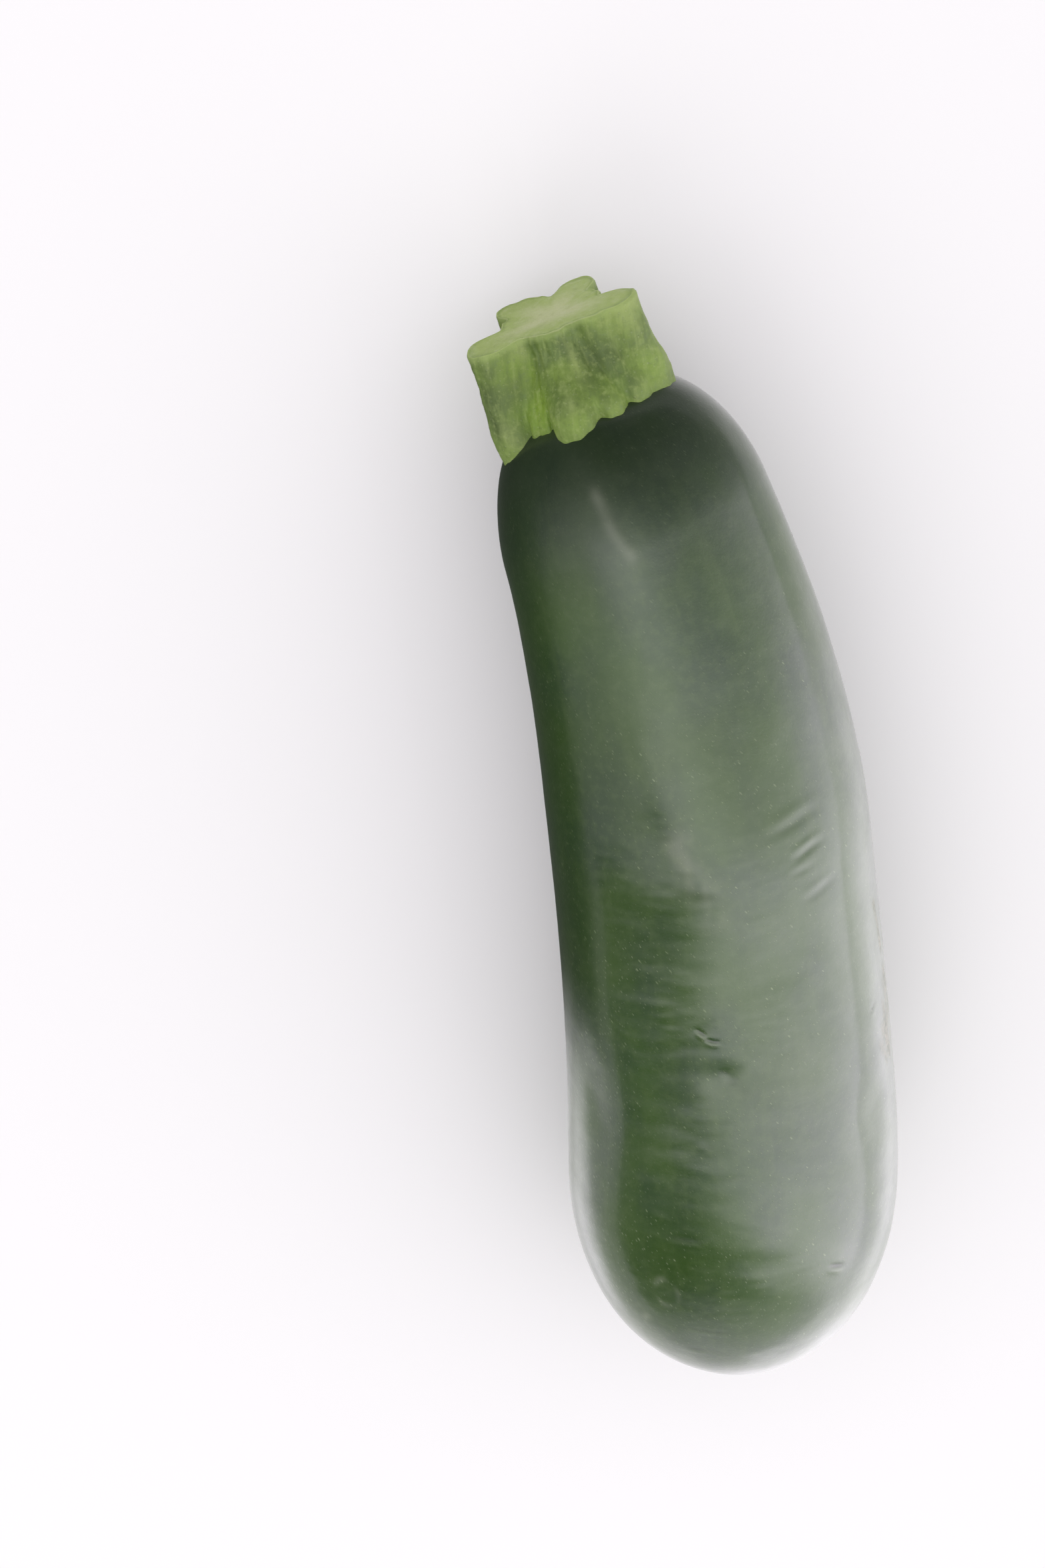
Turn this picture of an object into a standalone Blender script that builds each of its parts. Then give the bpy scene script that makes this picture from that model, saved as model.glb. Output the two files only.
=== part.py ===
"""A whole zucchini, as picked and cut from its plant: the fruit, and the stub of stem left on it.

It lies on its belly on a flat surface, stem end towards +Y. Its axis bends sideways, towards -X at both ends.
All sizes are in metres. Angles round the axis start at +X and pass through +Z, the top.
"""

import math

import bmesh
import bpy
import numpy as np
from mathutils import Matrix, Vector

# The fruit's axis runs from its blossom end to the seat that carries the stem.
FRUIT_LENGTH = 0.1725
# Evenly spaced along that length: how far the axis stands to the side of its chord.
AXIS_SIDEWAYS = (0.0, 0.0029, 0.0055, 0.0071, 0.0081, 0.0084, 0.0069, 0.0036, -0.0023)
# Evenly spaced too: the half-thickness, before the two ends round it off.
HALF_THICKNESS = (0.0285, 0.0285, 0.0284, 0.0276, 0.0268, 0.0262, 0.0243, 0.0221, 0.0203)
# Evenly spaced too: how far the belly's lowest line rises where the fruit lifts off the surface.
BELLY_RISE = (0.0012, 0.0004, 0.0, 0.0, 0.0, 0.0002, 0.0007, 0.0014, 0.0020)
# The belly is flattened this much where it rests.
REST_FLATTENING = 0.0005
BLOSSOM_END_DEPTH = 0.0378
BLOSSOM_END_FULLNESS = 2.09
SHOULDER_DEPTH = 0.0198
SHOULDER_FULLNESS = 1.92
SEAT_SHARE = 0.424

# Low ribs run down the fruit from the stem's five strong lobes, and fade.
RIB_WIDTH = math.radians(22)
RIB_HEIGHT_AT_NECK = 0.0011
RIB_HEIGHT_AT_BELLY = 0.0004

# The blossom scar is a low round button in a shallow ring.
SCAR_RADIUS = 0.0050
SCAR_RING_WIDTH = 0.0016
SCAR_RING_DEPTH = 0.0005
SCAR_DOME = 0.0004

STEM_LENGTH = 0.0140
STEM_SUNK = 0.0060
STEM_TURN = math.radians(13)
STEM_RISE = math.radians(5.7)
# The knife went through a little askew: the cut leans by this much towards the top.
STEM_CUT_LEAN = math.radians(3.8)
# Each lobe of the stem: its angle round the axis in degrees, its reach where it meets the fruit,
# its reach at the cut, and half its width.
STRONG_LOBES = (
    (26, 0.0152, 0.0143, 0.0036),
    (101, 0.0152, 0.0086, 0.0036),
    (161, 0.0156, 0.0149, 0.0036),
    (242, 0.0150, 0.0137, 0.0033),
    (303, 0.0147, 0.0130, 0.0032),
)
WEAK_LOBES = (
    (50, 0.0137, 0.0108, 0.0025),
    (73, 0.0138, 0.0074, 0.0021),
    (131, 0.0129, 0.0070, 0.0018),
    (204, 0.0128, 0.0086, 0.0020),
    (272, 0.0127, 0.0086, 0.0020),
    (344, 0.0128, 0.0088, 0.0020),
)
STEM_CORE_AT_FOOT = 0.0104
STEM_CORE_AT_CUT = 0.0058
# The lobes have their reach at the cut from this height up.
STEM_FOOT_HEIGHT = 0.0115
# How sharply the lobes meet each other in the valleys: higher is sharper.
VALLEY_SHARPNESS = 7

# The stem's underside keeps this gap to the fruit.
STEM_GAP = 0.0003

FRUIT_SIDES = 64
FRUIT_RINGS = 40
SCAR_RINGS = 6
STEM_SIDES = 120
STEM_RINGS = 9

SKIN_GREEN = (0.045, 0.100, 0.035, 1.0)
STEM_GREEN = (0.300, 0.430, 0.110, 1.0)


def clear_scene():
    for obj in list(bpy.data.objects):
        bpy.data.objects.remove(obj)


def smooth_between(values, share):
    """The value at this share of a run of evenly spaced ones, on a smooth curve through them."""
    place = min(max(share, 0.0), 1.0) * (len(values) - 1)
    first = min(int(place), len(values) - 2)
    t = place - first
    a, b = values[first], values[first + 1]
    before = values[first - 1] if first > 0 else 2 * a - b
    after = values[first + 2] if first + 2 < len(values) else 2 * b - a
    return 0.5 * (
        2 * a
        + (b - before) * t
        + (2 * before - 5 * a + 4 * b - after) * t**2
        + (3 * a - before - 3 * b + after) * t**3
    )


def smooth_step(low, high, value):
    t = min(max((value - low) / (high - low), 0.0), 1.0)
    return t * t * (3 - 2 * t)


def rounding(share, fullness):
    """The height of a rounded end, from 0 at its tip to 1 where it has its full thickness."""
    return (1 - (1 - min(max(share, 0.0), 1.0)) ** fullness) ** (1 / fullness)


def angle_between(a, b):
    return math.remainder(a - b, math.tau)


def rib_height(along, angle):
    """How far the fruit's ribs stand out, on average nothing, at this angle round it."""
    share = along / FRUIT_LENGTH
    height = RIB_HEIGHT_AT_BELLY + (
        RIB_HEIGHT_AT_NECK - RIB_HEIGHT_AT_BELLY
    ) * smooth_step(0.45, 0.95, share)
    fade = rounding(along / BLOSSOM_END_DEPTH, BLOSSOM_END_FULLNESS)
    bumps = sum(
        math.exp(-((angle_between(angle, math.radians(lobe[0])) / RIB_WIDTH) ** 2))
        for lobe in STRONG_LOBES
    )
    mean = len(STRONG_LOBES) * RIB_WIDTH * math.sqrt(math.pi) / math.tau
    return height * fade * (bumps - mean)


def fruit_radius(along, angle):
    share = along / FRUIT_LENGTH
    blossom = rounding(along / BLOSSOM_END_DEPTH, BLOSSOM_END_FULLNESS)
    shoulder = SEAT_SHARE + (1 - SEAT_SHARE) * rounding(
        (FRUIT_LENGTH - along) / SHOULDER_DEPTH, SHOULDER_FULLNESS
    )
    thickness = smooth_between(HALF_THICKNESS, share)
    return thickness * blossom * shoulder + rib_height(along, angle)


def fruit_axis(along):
    """The point of the fruit's axis at this distance from the blossom end."""
    share = along / FRUIT_LENGTH
    belly = smooth_between(BELLY_RISE, share) - REST_FLATTENING
    height = belly + smooth_between(HALF_THICKNESS, share)
    return Vector((smooth_between(AXIS_SIDEWAYS, share), along, height))


def fruit_sideways(along):
    """The unit vector across the fruit, level, to the right of its axis."""
    step = FRUIT_LENGTH / 1000
    ahead = fruit_axis(min(along + step, FRUIT_LENGTH))
    behind = fruit_axis(max(along - step, 0.0))
    run = ahead - behind
    return Vector((run.y, -run.x, 0.0)).normalized()


def fruit_point(along, angle, radius):
    across = fruit_sideways(along) * math.cos(angle)
    return fruit_axis(along) + radius * (across + Vector((0, 0, math.sin(angle))))


def scar_relief(radius):
    """How far the blossom scar sinks the end of the fruit at this distance from its centre."""
    ring = (radius - SCAR_RADIUS) / SCAR_RING_WIDTH
    dome = SCAR_DOME * max(0.0, 1 - (radius / SCAR_RADIUS) ** 2)
    return SCAR_RING_DEPTH * math.exp(-(ring**2)) - dome


def along_at_scar(radius):
    """Where the blossom end's rounding has this radius."""
    share = 1 - (1 - (radius / HALF_THICKNESS[0]) ** BLOSSOM_END_FULLNESS) ** (
        1 / BLOSSOM_END_FULLNESS
    )
    return share * BLOSSOM_END_DEPTH


def add_ring(mesh, points):
    return [mesh.verts.new(point) for point in points]


def join_rings(mesh, first, second):
    count = len(first)
    for i in range(count):
        k = (i + 1) % count
        mesh.faces.new((first[i], first[k], second[k], second[i]))


def fruit_rings():
    """The fruit's rings of points, from the middle of the scar to the seat."""
    angles = [math.tau * i / FRUIT_SIDES for i in range(FRUIT_SIDES)]
    rings = []
    scar_edge = SCAR_RADIUS + 2 * SCAR_RING_WIDTH
    for i in range(1, SCAR_RINGS + 1):
        radius = scar_edge * i / SCAR_RINGS
        sink = Vector((0, scar_relief(radius), 0))
        along = along_at_scar(radius)
        rings.append([fruit_point(along, angle, radius) + sink for angle in angles])
    start = along_at_scar(scar_edge)
    for i in range(1, FRUIT_RINGS + 1):
        share = (1 - math.cos(math.pi * i / FRUIT_RINGS)) / 2
        along = start + (FRUIT_LENGTH - start) * share
        rings.append(
            [fruit_point(along, angle, fruit_radius(along, angle)) for angle in angles]
        )
    return rings


def flatten_belly(mesh):
    """Cuts off what lies below the surface, which leaves one flat spot."""
    bmesh.ops.bisect_plane(
        mesh,
        geom=mesh.verts[:] + mesh.edges[:] + mesh.faces[:],
        plane_co=(0, 0, 0),
        plane_no=(0, 0, 1),
        clear_inner=True,
    )
    rim = [edge for edge in mesh.edges if edge.is_boundary]
    bmesh.ops.holes_fill(mesh, edges=rim, sides=0)


def make_object(name, mesh, material, parent):
    bmesh.ops.recalc_face_normals(mesh, faces=mesh.faces)
    data = bpy.data.meshes.new(name)
    mesh.to_mesh(data)
    mesh.free()
    data.shade_smooth()
    data.set_sharp_from_angle(angle=math.radians(40))
    if material:
        data.materials.append(material)
    obj = bpy.data.objects.new(name, data)
    bpy.context.scene.collection.objects.link(obj)
    obj.parent = parent
    return obj


def make_fruit(name, material, parent):
    mesh = bmesh.new()
    rings = [add_ring(mesh, points) for points in fruit_rings()]
    for first, second in zip(rings, rings[1:]):
        join_rings(mesh, first, second)
    tip = mesh.verts.new(fruit_point(0.0, 0.0, 0.0) + Vector((0, scar_relief(0.0), 0)))
    for i in range(FRUIT_SIDES):
        mesh.faces.new((tip, rings[0][(i + 1) % FRUIT_SIDES], rings[0][i]))
    mesh.faces.new(rings[-1])
    flatten_belly(mesh)
    return make_object(name, mesh, material, parent)


def finger(turn, reach, half_width):
    """The outline of a round-ended finger that points along turn 0, as a distance from its root."""
    if abs(turn) >= math.pi / 2:
        return 0.0
    centre = reach - half_width
    if abs(math.tan(turn)) * centre <= half_width:
        across = centre * math.sin(turn)
        return centre * math.cos(turn) + math.sqrt(half_width**2 - across**2)
    return half_width / abs(math.sin(turn))


def stem_radius(angle, height):
    """The stem's outline at this height: round-ended lobes on a round core, with soft valleys."""
    up = smooth_step(0.0, STEM_FOOT_HEIGHT, height)
    core = STEM_CORE_AT_FOOT + (STEM_CORE_AT_CUT - STEM_CORE_AT_FOOT) * up
    total = core**VALLEY_SHARPNESS
    for degrees, reach_at_foot, reach_at_cut, half_width in STRONG_LOBES + WEAK_LOBES:
        turn = angle_between(angle, math.radians(degrees))
        reach = reach_at_foot + (reach_at_cut - reach_at_foot) * up
        total += finger(turn, reach, half_width) ** VALLEY_SHARPNESS
    return total ** (1 / VALLEY_SHARPNESS)


def stem_placement():
    """The matrix that stands the stem, which grows along its own +Y, on the fruit's seat."""
    outward = Vector(
        (
            -math.sin(STEM_TURN) * math.cos(STEM_RISE),
            math.cos(STEM_TURN) * math.cos(STEM_RISE),
            math.sin(STEM_RISE),
        )
    )
    right = Vector((outward.y, -outward.x, 0.0)).normalized()
    top = right.cross(outward)
    turned = Matrix((right, outward, top)).transposed().to_4x4()
    return Matrix.Translation(fruit_axis(FRUIT_LENGTH)) @ turned


def make_stem(name, material, parent):
    mesh = bmesh.new()
    angles = [math.tau * i / STEM_SIDES for i in range(STEM_SIDES)]
    rings = []
    for i in range(STEM_RINGS):
        height = -STEM_SUNK + (STEM_LENGTH + STEM_SUNK) * i / (STEM_RINGS - 1)
        points = []
        for angle in angles:
            radius = stem_radius(angle, height)
            x, z = radius * math.cos(angle), radius * math.sin(angle)
            lean = z * math.tan(STEM_CUT_LEAN) if i == STEM_RINGS - 1 else 0.0
            points.append(Vector((x, height - lean, z)))
        rings.append(add_ring(mesh, points))
    for first, second in zip(rings, rings[1:]):
        join_rings(mesh, first, second)
    mesh.faces.new(rings[0])
    mesh.faces.new(rings[-1])
    obj = make_object(name, mesh, material, parent)
    obj.matrix_local = stem_placement()
    return obj


def seat_stem_on_fruit(stem, parent):
    """Cuts the stem's foot to the fruit's shoulder, with an even gap between them."""
    cutter = make_fruit("stem_seat_cutter", None, parent)
    cutter.hide_render = True
    cutter.display_type = "WIRE"
    swell = cutter.modifiers.new("swell", "DISPLACE")
    swell.mid_level = 0.0
    swell.strength = STEM_GAP
    cut = stem.modifiers.new("seat", "BOOLEAN")
    cut.operation = "DIFFERENCE"
    cut.solver = "EXACT"
    cut.object = cutter


def make_material(name, colour, roughness):
    material = bpy.data.materials.new(name)
    material.use_nodes = True
    shader = material.node_tree.nodes["Principled BSDF"]
    shader.inputs["Base Color"].default_value = colour
    shader.inputs["Roughness"].default_value = roughness
    shader.inputs["Metallic"].default_value = 0.0
    return material


def footprint_centre(objects):
    """The middle of the box round these objects, level with the surface they rest on."""
    graph = bpy.context.evaluated_depsgraph_get()
    corners = []
    for obj in objects:
        evaluated = obj.evaluated_get(graph)
        shape = evaluated.to_mesh()
        corners += [evaluated.matrix_world @ vertex.co for vertex in shape.vertices]
        evaluated.to_mesh_clear()
    points = np.array(corners)
    low, high = points.min(axis=0), points.max(axis=0)
    return Vector(((low[0] + high[0]) / 2, (low[1] + high[1]) / 2, 0.0))


def main():
    clear_scene()
    whole = bpy.data.objects.new("zucchini", None)
    bpy.context.scene.collection.objects.link(whole)
    skin = make_material("skin", SKIN_GREEN, 0.38)
    stem_skin = make_material("stem_skin", STEM_GREEN, 0.60)
    fruit = make_fruit("fruit", skin, whole)
    stem = make_stem("stem", stem_skin, whole)
    seat_stem_on_fruit(stem, whole)
    bpy.context.view_layer.update()
    whole.location = -footprint_centre([fruit, stem])
    bpy.context.view_layer.update()


main()
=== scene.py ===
"""The zucchini's looks: its skin and its stem, on a pale floor under soft light.

All sizes are in metres. Angles round the fruit and the stem start at +X and pass through +Z, the top.
"""

import math

import bpy
import numpy as np
from mathutils import Matrix, Vector, noise


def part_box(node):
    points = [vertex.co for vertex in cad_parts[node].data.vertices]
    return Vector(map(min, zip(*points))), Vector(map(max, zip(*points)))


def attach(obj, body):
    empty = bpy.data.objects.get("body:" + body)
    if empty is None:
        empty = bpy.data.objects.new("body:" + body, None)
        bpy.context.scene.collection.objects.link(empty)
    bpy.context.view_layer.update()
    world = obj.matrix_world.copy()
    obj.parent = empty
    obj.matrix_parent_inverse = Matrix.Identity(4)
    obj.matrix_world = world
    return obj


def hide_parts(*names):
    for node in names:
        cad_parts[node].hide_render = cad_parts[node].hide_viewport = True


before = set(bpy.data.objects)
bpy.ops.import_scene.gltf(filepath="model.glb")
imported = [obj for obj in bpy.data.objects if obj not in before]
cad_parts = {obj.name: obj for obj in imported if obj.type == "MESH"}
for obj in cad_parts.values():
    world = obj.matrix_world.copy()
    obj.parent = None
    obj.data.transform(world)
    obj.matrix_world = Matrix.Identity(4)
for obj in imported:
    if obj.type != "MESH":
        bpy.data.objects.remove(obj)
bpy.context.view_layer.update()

MM = 0.001

# The fruit's form, as in the solids.
FRUIT_LENGTH = 0.1725
AXIS_SIDEWAYS = (0.0, 0.0029, 0.0055, 0.0071, 0.0081, 0.0084, 0.0069, 0.0036, -0.0023)
HALF_THICKNESS = (0.0285, 0.0285, 0.0284, 0.0276, 0.0268, 0.0262, 0.0243, 0.0221, 0.0203)
BELLY_RISE = (0.0012, 0.0004, 0.0, 0.0, 0.0, 0.0002, 0.0007, 0.0014, 0.0020)
REST_FLATTENING = 0.0005
BLOSSOM_END_DEPTH = 0.0378
BLOSSOM_END_FULLNESS = 2.09
SHOULDER_DEPTH = 0.0198
SHOULDER_FULLNESS = 1.92
SEAT_SHARE = 0.424
RIB_WIDTH = math.radians(22)
RIB_HEIGHT_AT_NECK = 0.0011
RIB_HEIGHT_AT_BELLY = 0.0004
SCAR_RADIUS = 0.0050
SCAR_RING_WIDTH = 0.0016
SCAR_RING_DEPTH = 0.0005
SCAR_DOME = 0.0004

# The stem's form, as in the solids. Each lobe has its angle in degrees, its reach at the foot,
# its reach at the cut, and half its width.
STEM_LENGTH = 0.0140
STEM_TURN = math.radians(13)
STEM_RISE = math.radians(5.7)
STEM_CUT_LEAN = math.radians(3.8)
STRONG_LOBES = (
    (26, 0.0152, 0.0143, 0.0036),
    (101, 0.0152, 0.0086, 0.0036),
    (161, 0.0156, 0.0149, 0.0036),
    (242, 0.0150, 0.0137, 0.0033),
    (303, 0.0147, 0.0130, 0.0032),
)
WEAK_LOBES = (
    (50, 0.0137, 0.0108, 0.0025),
    (73, 0.0138, 0.0074, 0.0021),
    (131, 0.0129, 0.0070, 0.0018),
    (204, 0.0128, 0.0086, 0.0020),
    (272, 0.0127, 0.0086, 0.0020),
    (344, 0.0128, 0.0088, 0.0020),
)
STEM_CORE_AT_FOOT = 0.0104
STEM_CORE_AT_CUT = 0.0058
STEM_FOOT_HEIGHT = 0.0115
VALLEY_SHARPNESS = 7

# How finely the skin and the stem are divided.
SKIN_SIDES = 300
SKIN_RINGS = 330
STEM_SIDES = 600
STEM_RINGS = 90
CUT_RINGS = 40
# The skin's rings are closer together where it has most creases: the middle and the length of each place.
CREASED_PLACES = ((0.100, 0.009), (0.075, 0.004), (0.028, 0.006))
CROWDING_AT_CREASES = 1.3
CROWDING_ON_TOP = 0.55
# The round of the skin's map, in metres to a radian.
SKIN_ROUND = 0.027

# How high the skin's reliefs stand, or how deep they are.
LUMP_HEIGHT = 0.00022
DIMPLE_HEIGHT = 0.00003
RIPPLE_HEIGHT = 0.000010
CROSS_GRAIN_HEIGHT = 0.000014
CREASE_DEPTH = 0.00016
CREASE_LIP_HEIGHT = 0.00010
FOLD_DEPTH = 0.00013
FOLD_RIDGE_HEIGHT = 0.00010
CREST_HEIGHT = 0.00014
STREAK_HEIGHT = 0.00010
CORK_HEIGHT = 0.00004
CORK_GRAIN_HEIGHT = 0.00008
SCAR_KNOB_HEIGHT = 0.00045
SCAR_KNOB_RADIUS = 0.0012
SCAR_GRAIN_HEIGHT = 0.00022
# Ripples cross the upper side. They are this far apart, and slower ones this far.
RIPPLES_AT = math.radians(105)
RIPPLE_SPACING = 0.0019
SLOW_RIPPLE_SPACING = 0.0046

# Short creases in the skin: (mm along, degrees) of the middle, degrees turned from straight across,
# length and width in mm, and depth, from 0 to 1.
CREASES = (
    (75.6, 104.6, 45, 2.6, 0.45, 1.0),
    (74.2, 101.6, 18, 2.4, 0.45, 0.9),
    (74.1, 99.6, -35, 1.0, 0.40, 0.7),
    (68.4, 98.0, 10, 2.2, 0.90, 0.5),
    (66.8, 95.0, 5, 3.0, 0.90, 0.4),
    (31.0, 60.0, 18, 4.2, 0.80, 1.0),
    (38.8, 114.0, 0, 8.0, 0.40, 0.35),
    (33.9, 108.0, 2, 6.0, 0.40, 0.25),
    (42.7, 122.0, 4, 4.0, 0.35, 0.30),
    (20.3, 106.0, 2, 9.0, 0.45, 0.45),
    (14.8, 108.0, 1, 11.0, 0.45, 0.50),
    (17.4, 99.0, 3, 5.0, 0.40, 0.35),
    (56.3, 106.0, 10, 3.0, 0.40, 0.45),
    (50.2, 96.0, 4, 5.0, 0.40, 0.25),
    (64.8, 92.0, 5, 5.0, 0.40, 0.25),
    (62.0, 46.0, 20, 2.2, 0.45, 0.4),
    (71.5, 36.0, -25, 3.5, 0.50, 0.5),
    (48.0, 200.0, 4, 6.0, 0.50, 0.5),
    (88.0, 250.0, -6, 7.0, 0.50, 0.5),
    (121.0, 330.0, 5, 6.0, 0.50, 0.5),
    (66.0, 300.0, 12, 4.0, 0.45, 0.5),
)
# Soft folds, each a ridge with a groove below it, listed like the creases.
FOLDS = (
    (106.8, 64.0, -7, 13.5, 1.7, 0.7),
    (102.0, 60.0, -11, 8.5, 1.2, 0.9),
    (99.4, 64.0, -5, 6.0, 1.0, 0.35),
    (95.2, 57.5, -12, 9.0, 1.5, 0.7),
)
# Soft hollows: mm along and degrees of the middle, how deep, and how long and wide.
HOLLOWS = (
    (113.0, 62, 0.00040, 0.0090, 0.0200),
    (108.0, 112, 0.00030, 0.0060, 0.0065),
    (67.5, 97, 0.00035, 0.0026, 0.0034),
    (59.5, 150, 0.00060, 0.0100, 0.0050),
    (34.0, 88, 0.00030, 0.0040, 0.0060),
    (84.0, 76, 0.00015, 0.0050, 0.0050),
    (124.0, 84, 0.00020, 0.0080, 0.0050),
    (54.0, 40, 0.00035, 0.0060, 0.0040),
    (70.0, 235, 0.00025, 0.0120, 0.0080),
    (112.0, 215, 0.00020, 0.0120, 0.0080),
    (38.0, 320, 0.00025, 0.0080, 0.0080),
)
# Lines on the skin, by the (mm along, degrees) of their points.
CORK_LINE = ((87, 25), (79, 21), (71, 20))
CORK_PATCH = ((72, 19), (68, 22), (63.5, 25))
CREST = ((124, 113), (110, 106), (99, 99.5))
# The neck streak is a raised line that also carries a painted highlight, and the next line is a painted
# highlight only.
NECK_HIGHLIGHT_STREAK = ((162, 102), (157, 100.5), (153, 97.5))
HIGHLIGHT_LINE = ((107, 106), (102, 102.5), (95.5, 98))
SCRATCH = ((20.5, 131), (19.5, 133))
# The crest is whole from the one place and gone at the other.
CREST_WHOLE = 0.100
CREST_GONE = 0.097
# A pale ring where something pressed on the skin.
RING_PLACE = 0.0272
RING_ANGLE = math.radians(121)
RING_RADIUS = 0.0019
RING_WIDTH = 0.0005
RING_STRETCH = 1.35

# The fruit's colours.
DEEP_GREEN = (0.018, 0.048, 0.0075, 1)
FRESH_GREEN = (0.033, 0.077, 0.0070, 1)
WARM_GREEN = (0.036, 0.080, 0.004, 1)
COOL_GREEN = (0.016, 0.043, 0.014, 1)
STREAK_GREEN = (0.058, 0.100, 0.024, 1)
MOTTLE_GREEN = (0.062, 0.104, 0.028, 1)
# Painted shade for the left flank.
SHADED_FLANK_GREEN = (0.012, 0.030, 0.006, 1)
NECK_GREEN = (0.010, 0.017, 0.011, 1)
SMALL_FLECK = (0.20, 0.25, 0.13, 1)
LARGE_FLECK = (0.27, 0.33, 0.18, 1)
DARK_CORK = (0.16, 0.15, 0.09, 1)
PALE_CORK = (0.30, 0.28, 0.19, 1)
# Pale colour of the scuffs, also used for painted highlights.
SCUFF_AND_HIGHLIGHT = (0.40, 0.41, 0.33, 1)
DARK_SCAR = (0.105, 0.090, 0.040, 1)
PALE_SCAR = (0.250, 0.220, 0.120, 1)
SCAR_RIM = (0.085, 0.085, 0.030, 1)
# Painted highlight for the creases' lips, and painted shade for their grooves.
CREASE_LIP_HIGHLIGHT = (0.20, 0.24, 0.15, 1)
CREASE_SHADE = (0.008, 0.012, 0.005, 1)
FLECK_LEAN = math.radians(-38)

# The stem's mesh starts this deep in the fruit's shoulder.
STEM_SUNK = 0.0050
# Noise round the stem's side is read on a tube of this radius.
STEM_NOISE_RADIUS = 0.0125
# The valleys between the lobes come down to about this radius, and are cut this much deeper.
VALLEY_RADIUS = 0.0060
VALLEY_DEPTH = 0.00075
# This weak lobe ends high up, between the two toes that reach furthest down.
SHORT_LOBE = math.radians(131)
SHORT_LOBE_WIDTH = math.radians(7)
SHORT_LOBE_DEPTH = 0.0010

# The stem's colours.
STEM_OLIVE = (0.100, 0.153, 0.032, 1)
STEM_GREEN = (0.158, 0.238, 0.036, 1)
STEM_RIDGE = (0.222, 0.312, 0.085, 1)
STEM_FOOT = (0.110, 0.210, 0.012, 1)
# Painted shade for the valleys between the stem's lobes.
STEM_VALLEY_SHADE = (0.070, 0.120, 0.020, 1)
# Darker olive, partly the stem's own colour and partly painted shade.
STEM_DULL_AND_SHADE = (0.060, 0.095, 0.023, 1)
STEM_BRIGHT = (0.190, 0.300, 0.022, 1)
STEM_PALE = (0.335, 0.400, 0.138, 1)
PALE_LINES = (0.298, 0.372, 0.120, 1)
DARK_LINES = (0.060, 0.100, 0.018, 1)
PALE_GRAIN = (0.298, 0.362, 0.125, 1)
DARK_GRAIN = (0.070, 0.110, 0.025, 1)
STEM_DOTS = (0.420, 0.470, 0.280, 1)
STEM_BRIM = (0.300, 0.390, 0.120, 1)
CUT_PITH = (0.430, 0.470, 0.235, 1)
CUT_FLESH = (0.315, 0.400, 0.120, 1)
CUT_RIND = (0.170, 0.260, 0.055, 1)
CUT_PALE = (0.470, 0.500, 0.300, 1)
CUT_DARK = (0.230, 0.280, 0.100, 1)
# Where its side is bright, dull and pale: degrees round, mm above the foot, the width in degrees
# and the length in mm, and how strong.
BRIGHT_SPOTS = (
    (126, 3.4, 12, 4.2, 1.0),
    (133, 8.5, 8, 3.5, 0.8),
    (140, 11.0, 6, 2.4, 0.8),
    (182, 12.6, 6, 1.6, 0.5),
    (98, 1.0, 10, 2.6, 0.7),
    (38, 2.0, 9, 2.5, 0.35),
    (232, 4.0, 9, 4.0, 0.8),
    (288, 5.0, 9, 4.5, 0.8),
    (320, 9.0, 10, 3.0, 0.6),
)
# The dull spots are partly darker olive colour and partly painted shade, on the stem's middle and left
# side.
DULL_AND_SHADED_SPOTS = (
    (60, 8.0, 15, 3.6, 1.0),
    (80, 5.5, 12, 2.6, 0.7),
    (58, 4.6, 8, 2.0, 0.6),
    (92, 11.8, 8, 1.8, 0.7),
    (149, 11.4, 7, 2.4, 1.0),
    (152, 7.0, 10, 3.8, 1.0),
    (172, 9.0, 12, 4.5, 1.0),
    (188, 6.0, 10, 6.0, 1.0),
    (166, 5.0, 9, 3.5, 0.9),
    (155, 2.6, 8, 2.8, 0.9),
    (250, 9.0, 12, 4.0, 0.7),
    (345, 5.0, 10, 4.0, 0.7),
)
PALE_SPOTS = (
    (87, 9.0, 4, 3.0, 0.6),
    (17, 7.5, 7, 4.5, 0.6),
    (23, 2.5, 6, 3.0, 0.5),
    (176, 1.5, 4, 3.5, 0.8),
    (34, 13.4, 18, 2.0, 1.0),
    (38, 11.6, 9, 2.4, 0.7),
    (136, 12.6, 5, 2.0, 0.8),
    (150, 0.5, 4, 2.0, 0.5),
    (100, 3.5, 4, 2.0, 0.4),
    (300, 3.0, 5, 5.0, 0.6),
    (240, 11.0, 5, 3.0, 0.5),
)

# The light. A strength of 1 is shown as white. Where light comes from is in degrees, round from +X
# towards +Y and up.
ROOM_COLOUR = (1.0, 0.985, 1.0, 1)
WINDOW_COLOUR = (1.05, 0.975, 1.11, 1)
EVEN_LIGHT = 1.05
LEAN_TO_THE_RIGHT = 0.12
BACKDROP = 0.97
BRIGHTEST_GLOSS = 4.3
WINDOW_FROM = (-62, -2)
WINDOW_STRENGTH = 9.0
WINDOW_NARROWNESS = 2.06
OVERHEAD_FROM = (199, 66)
OVERHEAD_STRENGTH = 1.8
OVERHEAD_NARROWNESS = 4.1
# Between the two, the gloss dims.
GAP_FROM = (9, 42)
GAP_STRENGTH = 0.40
GAP_NARROWNESS = 7.0
# How much the dark corner's edge slants.
CORNER_SLANT = 2.03
KEY_PLACE = (-0.5, -1.0, 1.1)
KEY_SIZE = 0.9
KEY_POWER = 3.0

# The floor reaches this far each way, just below the fruit's flat spot.
FLOOR_HALF = 3.0
FLOOR_DROP = 0.00005
FLOOR_COLOUR = (0.895, 0.880, 0.893, 1)
FLOOR_IN_SHADE = (0.10, 0.11, 0.09, 1)
FLOOR_GLOW = (1.04, 0.98, 1.08, 1)

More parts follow.
